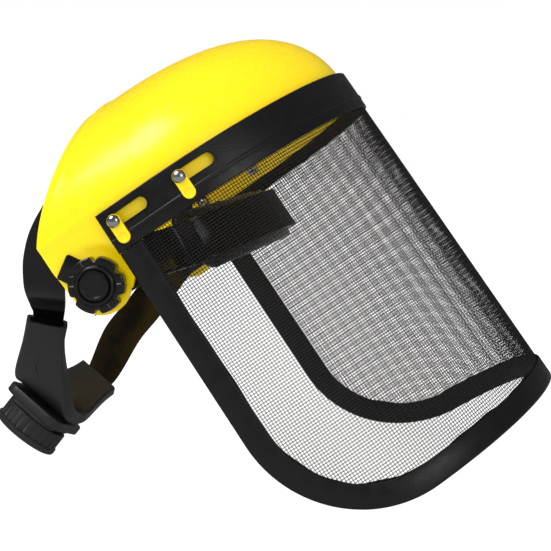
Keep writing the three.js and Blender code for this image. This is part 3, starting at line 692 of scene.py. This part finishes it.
for side, sign in sides.items():
    finish(f"grip_knob_{side}", mirrored(joinMeshes(pivotKnob(), gripRibs()), sign), glossyNylon,
           f"knob_{side}", [f"pivot_knob_{side}"])
    finish(f"grip_cap_{side}", mirrored(knobCap(), sign), glossyNylon, f"knob_{side}", [f"knob_cap_{side}"])
    finish(f"end_plate_{side}", mirrored(endPlate(), sign), polishedStrap, "guard", [f"pivot_plate_{side}"])
print("knobs made")


# A smooth curve through the points, which keeps even between near and far ones.
def curvePoint(points, t):
    place = (len(points) - 1) * t
    i = min(int(place), len(points) - 2)
    w = place - i
    p1, p2 = points[i], points[i + 1]
    p0 = points[i - 1] if i else p1 * 2 - p2
    p3 = points[i + 2] if i + 2 < len(points) else p2 * 2 - p1
    d0, d1, d2 = [(b - a).length ** 0.5 for a, b in ((p0, p1), (p1, p2), (p2, p3))]
    m1 = ((p1 - p0) / d0 - (p2 - p0) / (d0 + d1) + (p2 - p1) / d1) * d1
    m2 = ((p2 - p1) / d1 - (p3 - p1) / (d1 + d2) + (p3 - p2) / d2) * d1
    return p1 + m1 * w + (p2 * 3 - p1 * 3 - m1 * 2 - m2) * w ** 2 + (p1 * 2 - p2 * 2 + m1 + m2) * w ** 3


# A band's section has thin raised borders, and its width follows the direction that lift gives.
def ribbon(path, steps, width, half, lift, border=0.25):
    points = [Vector(p) for p in path]
    rings = []
    for i in range(steps + 1):
        t = i / steps
        centre = curvePoint(points, t)
        along = (curvePoint(points, min(1, t + 1e-3)) - curvePoint(points, max(0, t - 1e-3))).normalized()
        wide = Vector(lift(t))
        wide = (wide - along * wide.dot(along)).normalized()
        out = along.cross(wide)
        w, h = (width(t) if callable(width) else width) / 2, half
        section = [(w - 0.3, -h), (w, -h + 0.3), (w, h - 0.3), (w - 0.3, h), (w - 1.8, h),
                   (w - 2.4, h - border), (2.4 - w, h - border), (1.8 - w, h), (0.3 - w, h),
                   (-w, h - 0.3), (-w, 0.3 - h), (0.3 - w, -h)]
        rings.append([centre + wide * b + out * n for b, n in section])
    return loft(rings)


band = dict(halfWidth=79, front=-31, half=1.0, width=22, pad=8, padHeight=37, gap=0.3)
strap = dict(width=21, sleeveWidth=16, half=0.9)
crown = dict(width=14, half=0.6, side=98.4, lean=36, rise=57)


def headbandPath(inset):
    half, front = band["halfWidth"] - inset, band["front"] + inset
    arm = [(-102.8, pivot["y"] + 12, pivot["z"]), (-102.8, pivot["y"], pivot["z"]), (-102.8, 30, 165),
           (-101.6, 23, 164.5), (-93, 15.5, 162)]
    bend = [(-half * math.cos(t), 9 - (9 - front) * math.sin(t), lerp(160, 152, math.sin(t)))
            for t in (math.pi / 12 * i for i in range(7))]
    right = arm + bend
    return right + [(-x, y, z) for x, y, z in reversed(right[:-1])]


finish("headband_strap", ribbon(headbandPath(0), 220, band["width"], band["half"], lambda t: (0, 0, 1)),
       polishedStrap, "harness", ["headband"])


# The nape frame: its +Y is the ratchet's axis, +Z is up the cradle and X is across it.
nape = dict(place=(0, 131.5, 135.5), pitch=-18, roll=17, yaw=8, right=45, left=35, reach=40, sag=26, climb=11,
            half=4, wall=1.6, twist=40, housing=19, knob=18, knobBase=12.3, knobDepth=11, ribs=24)
napeFrame = (Matrix.Translation(nape["place"]) @ Matrix.Rotation(math.radians(nape["yaw"]), 4, "Z")
             @ Matrix.Rotation(math.radians(nape["pitch"]), 4, "X")
             @ Matrix.Rotation(math.radians(nape["roll"]), 4, "Y"))


def napeSag(x):
    return -nape["sag"] * (abs(x) / nape["reach"]) ** 2.1


# The sleeve's centre line: its right half climbs towards the strap.
def napeCentre(x):
    climb = smoothStep(-x, 8, nape["right"] + 14) / smoothStep(nape["right"], 8, nape["right"] + 14)
    return Vector((x, napeSag(x) - 3 * smoothStep(-x, 15, nape["right"]), nape["climb"] * climb))


def napeAlong(x):
    return (napeCentre(x + 0.5) - napeCentre(x - 0.5)).normalized()


# The sleeve's own up and outward directions at x: its right half also twists.
def napeAxes(x):
    along = napeAlong(x)
    level = (Vector((0, 0, 1)) - along * along.z).normalized()
    flat = level.cross(along)
    twist = math.radians(nape["twist"]) * smoothStep(-x, 8, nape["right"])
    return level * math.cos(twist) + flat * math.sin(twist), flat * math.cos(twist) - level * math.sin(twist)


def napePoint(x, z, n):
    up, out = napeAxes(x)
    return napeCentre(x) + up * z + out * n


# Points on the sleeve's centre line in the head frame, given how far they stand out of its end.
def napeEnd(sign, distances):
    end = -nape["right"] if sign < 0 else nape["left"]
    return [napeFrame @ (napeCentre(end) + napeAlong(end) * sign * d) for d in distances]


def napeUp(sign):
    return napeFrame.to_3x3() @ napeAxes(-nape["right"] if sign < 0 else nape["left"])[0]


def sleeveLoft(over, inset):
    rings = []
    for i in range(81):
        x = lerp(-nape["right"] - over, nape["left"] + over, i / 80)
        end, reach = (10.6, 42) if x < 0 else (13, 34)
        tall = lerp(18.5, end, smoothStep(abs(x), 8, reach)) - inset
        bar = roundedBar(-tall, tall, inset - nape["half"], nape["half"] - inset, 1.6 - 0.5 * inset)
        rings.append([napePoint(x, z, n) for z, n in bar])
    return loft(rings)


def napeCradle():
    return boolean(sleeveLoft(0, 0), sleeveLoft(4, nape["wall"]), "DIFFERENCE")


# A direction that passes through the given ones, evenly spaced along the band.
def turning(directions):
    units = [Vector(d).normalized() for d in directions]

    def lift(t):
        place = min(t * (len(units) - 1), len(units) - 1.0001)
        return units[int(place)].lerp(units[int(place) + 1], place - int(place))
    return lift


def strapWidth(t):
    return lerp(strap["width"], strap["sleeveWidth"], smoothStep(t, 0.75, 0.92))


# The right strap climbs from its pivot, bends over and runs down into the nape sleeve.
rightPath = [(-100.6, 51, 156), (-100.6, 45, 165), (-100.6, 40, 174), (-100.2, 35.5, 184),
             (-98, 33.5, 193.5), (-94, 35.5, 201.5), (-91.8, 42, 204.5), (-88.4, 51.5, 202),
             (-82, 62.5, 197.5), (-78, 71.5, 190.5), (-72, 79.5, 181.5), (-56, 88, 174.5),
             *napeEnd(-1, (3, -4))]
rightLift = turning([(0, 0.8, 0.6)] * 12 + [napeUp(-1)] * 2)
leftPath = [(100.6, 35, 167.5), (100.6, 45, 165.5), (100.6, 54, 163.4), (98.5, 61, 161), (91, 69.5, 157),
            (79, 81, 151.5), (62, 95, 145.5), *napeEnd(1, (2, -4))]
leftLift = turning([(0, 0.15, 0.9)] * 3 + [(0, 0.3, 0.9), (0, 0.45, 0.87), (0, 0.5, 0.85), (0, 0.5, 0.85)]
                   + [napeUp(1)] * 2)
finish("nape_strap_right", ribbon(rightPath, 200, strapWidth, strap["half"], rightLift),
       polishedStrap, "harness", ["rear_strap_right"])
finish("nape_strap_left", ribbon(leftPath, 140, strapWidth, strap["half"], leftLift),
       polishedStrap, "harness", ["rear_strap_left"])


def crownStrap(sign):
    path = []
    for i in range(9):
        t = lerp(-0.06, 1.566, i / 8)
        path.append((-sign * crown["side"] * min(1, 1.02 * math.cos(t) ** 1.2),
                     pivot["y"] - crown["lean"] * math.sin(t), pivot["z"] + 2 + crown["rise"] * math.sin(t)))
    return ribbon(path, 90, crown["width"], crown["half"], lambda t: (0, 0.85, 0.52), 0.15)


finish("over_strap_right", crownStrap(1), polishedStrap, "harness", ["crown_strap_right"])
finish("over_strap_left", crownStrap(-1), polishedStrap, "harness", ["crown_strap_left"])
print("straps made")


# A slim core is swollen as cloth under pressure.
def sweatband():
    inset = band["half"] + 5 * band["gap"] + band["pad"] / 2 + 0.4
    path = [Vector(p) for p in headbandPath(inset) if abs(p[0]) < 80 and p[1] < 10]
    rings = []
    for i in range(97):
        t = i / 96
        centre = curvePoint(path, t)
        along = (curvePoint(path, min(1, t + 1e-3)) - curvePoint(path, max(0, t - 1e-3))).normalized()
        out = along.cross(Vector((0, 0, 1))).normalized()
        ends = abs(2 * t - 1)
        lobe = math.sqrt(1 - 0.97 * max(0, (ends - 0.86) / 0.14) ** 2)
        high = (band["padHeight"] * (1 - 0.12 * math.sin(math.pi * t)) / 2 - 1) * lobe
        thick = band["pad"] / 2 * 0.8
        section = [(high * math.copysign(abs(math.cos(a)) ** 0.8, math.cos(a)),
                    thick * math.copysign(abs(math.sin(a)) ** 0.7, math.sin(a)))
                   for a in (2 * math.pi * k / 28 for k in range(28))]
        rings.append([centre + Vector((0, 0, b)) + out * n for b, n in section])
    pad = objectFrom("sweatband_pad", outwards(loft(rings)))
    pad.data.transform(headToRow)
    remesh = pad.modifiers.new("even", "REMESH")
    remesh.mode, remesh.voxel_size = "VOXEL", 0.0014
    applyModifiers(pad)
    start = [v.co.copy() for v in pad.data.vertices]
    cloth = pad.modifiers.new("swell", "CLOTH")
    cloth.settings.use_pressure = True
    cloth.settings.uniform_pressure_force = 4
    cloth.settings.effector_weights.gravity = 0
    scene = bpy.context.scene
    for step in range(1, 21):
        scene.frame_set(step)
    applyModifiers(pad)
    scene.frame_set(1)
    most = 0.0012  # the cloth may swell this far, in metres
    for point, before in zip(pad.data.vertices, start):
        move = point.co - before
        if move.length > most:
            point.co = before + move.normalized() * most
    smooth = pad.modifiers.new("even", "SMOOTH")
    smooth.factor, smooth.iterations = 0.5, 10
    fine = pad.modifiers.new("fine", "SUBSURF")
    fine.levels = fine.render_levels = 1
    applyModifiers(pad)
    for face in pad.data.polygons:
        face.use_smooth = True
    pad.data.materials.clear()
    pad.data.materials.append(foamCloth)
    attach(pad, "harness")
    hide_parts("sweatband")


sweatband()
print("sweatband made")

mark = dict(x=-30, z=-1, radius=3.4, rise=0.7)


def halfMoon():  # a raised mark on the sleeve's outer face
    rings = []
    for i in range(25):
        t = math.pi * (0.08 + 0.84 * i / 24)
        x, z = mark["x"] + mark["radius"] * math.cos(t), mark["z"] + mark["radius"] * math.sin(t)
        rise = mark["rise"] * math.sin(math.pi * i / 24) ** 0.5
        ring = [napePoint(x + w * math.cos(t), z + w * math.sin(t), nape["half"] + n)
                for w, n in ((-0.9, -0.4), (-0.6, rise * 0.7), (0, rise), (0.6, rise * 0.7), (0.9, -0.4))]
        rings.append(ring)
    return loft(rings)


def gripGroove(angle):
    return 0.55 * smoothStep(math.cos(nape["ribs"] * angle), 0.1, 0.9)


def roundPlate(half, tall, y0, y1, radius):
    outline = roundedBar(-half, half, -tall, tall, radius, 10)
    return bevelled(loft([[(u, y, v) for u, v in outline] for y in (y0, y1)]), 0.8, 3)


def ratchetKnob():
    y0, r = nape["knobBase"], nape["knob"]
    y1 = y0 + nape["knobDepth"]
    profile = [(r - 3, y0, False), (r - 0.6, y0, False), (r, y0 + 0.5, False), (r, y0 + 1.2, False),
               (r, y0 + 1.8, True), (r, y1 - 2.6, True), (r, y1 - 2.1, False), (r + 0.8, y1 - 1.7, False),
               (r + 0.8, y1 + 0.7, False), (r + 0.4, y1 + 1.3, False), (r - 0.6, y1 + 1.8, False),
               (r - 2, y1 + 2, False), (r - 4, y1 + 1.8, False), (r - 5, y1 + 0.8, False),
               (5.4, y1 + 0.6, False), (4.8, y1 + 0.2, False), (4.6, y1 - 3, False), (0.2, y1 - 3, False)]
    turns = [2 * math.pi * k / 288 for k in range(288)]
    rings = []
    for radius, y, gripped in profile:
        radii = [radius - gripGroove(t) if gripped else radius for t in turns]
        rings.append([(reach * math.cos(t), y, reach * math.sin(t)) for reach, t in zip(radii, turns)])
    return loft(rings)


finish("cradle_sleeve", napeCradle(), satinNylon, "harness", ["nape_cradle"],
       place=napeFrame)
finish("cradle_mark", halfMoon(), satinNylon, "harness", [], place=napeFrame)
finish("ratchet_case", roundPlate(19, nape["housing"], 4.4, 9.6, 8), satinNylon, "harness",
       ["ratchet_housing"], place=napeFrame)
finish("ratchet_grip", ratchetKnob(), satinNylon, "ratchet", ["ratchet_knob"], place=napeFrame)
print("nape made")

# These CAD nodes stay, because they are small turned pieces or are hidden.
keptLooks = {"rivet_washer": nickelSteel, "pivot_bolt": nickelSteel, "friction_washer": satinNylon,
             "ratchet_cover": satinNylon, "ratchet_pinion": satinNylon, "ratchet_screw": nickelSteel,
             "click_spring": nickelSteel, "strap_rack": polishedStrap}
for name, node in nodes.items():
    for start, look in keptLooks.items():
        if name.startswith(start):
            node.data.materials.clear()
            node.data.materials.append(look)

stage = dict(floor=6.0, key=18, fill=4, diffuse=0.95, glossy=0.1)


# White where the camera looks at it, dimmer in reflections so that black plastic stays black.
def whiteSurround(tree):
    path = addNode(tree, "ShaderNodeLightPath")
    scaled = addNode(tree, "ShaderNodeMath", {0: path.outputs["Is Diffuse Ray"],
                                              1: stage["diffuse"] - stage["glossy"],
                                              2: stage["glossy"]}, operation="MULTIPLY_ADD")
    return addNode(tree, "ShaderNodeMath", {0: scaled.outputs[0], 1: path.outputs["Is Camera Ray"]},
                   operation="MAXIMUM").outputs[0]


def floorPiece():
    size = stage["floor"]
    mesh = meshFrom([(-size, -size, 0), (size, -size, 0), (size, size, 0), (-size, size, 0)], [[0, 1, 2, 3]])
    piece = objectFrom("floor", mesh)
    material, tree, shader, coords = startMaterial("whitePaperSweep", Roughness=0.9)
    shader.inputs["Base Color"].default_value = hexColour("#6E6E6E")
    shader.inputs["Emission Color"].default_value = hexColour("#FFFFFF")
    tree.links.new(whiteSurround(tree), shader.inputs["Emission Strength"])
    mesh.materials.append(material)


def areaLight(name, where, size, power, target=(0, 0, 0.1)):
    light = bpy.data.lights.new(name, "AREA")
    light.shape, light.size, light.size_y, light.energy = "RECTANGLE", size[0], size[1], power
    lamp = bpy.data.objects.new(name, light)
    bpy.context.scene.collection.objects.link(lamp)
    lamp.location = where
    lamp.rotation_euler = (Vector(target) - Vector(where)).to_track_quat("-Z", "Y").to_euler()


floorPiece()
world = bpy.data.worlds.new("whiteStudio")
world.use_nodes = True
background = world.node_tree.nodes["Background"].inputs
background["Color"].default_value = hexColour("#FFFFFF")
world.node_tree.links.new(whiteSurround(world.node_tree), background["Strength"])
bpy.context.scene.world = world
areaLight("softKey", (-0.9, 0.9, 1.5), (0.9, 0.9), stage["key"])
areaLight("softFill", (-1.3, -1.1, 0.7), (0.8, 0.8), stage["fill"])

view = dict(lens=106.76, sensor=36, lean=0.46, fromRow=(-0.8544, -0.1918, 0.0690),
            towards=(0.98604, 0.14338, -0.084673))  # placed in metres from the pivot row
cameraData = bpy.data.cameras.new("camera")
cameraData.lens, cameraData.sensor_width = view["lens"], view["sensor"]
camera = bpy.data.objects.new("camera", cameraData)
bpy.context.scene.collection.objects.link(camera)
lean = Matrix.Rotation(math.radians(view["lean"]), 3, "X")
camera.location = pivotRow / 1000 + lean @ Vector(view["fromRow"])
aim = Vector(view["towards"]).to_track_quat("-Z", "Y").to_matrix()
camera.rotation_euler = (lean @ aim).to_euler()
bpy.context.scene.camera = camera
bpy.context.scene.view_settings.view_transform = "Standard"
print("stage set")
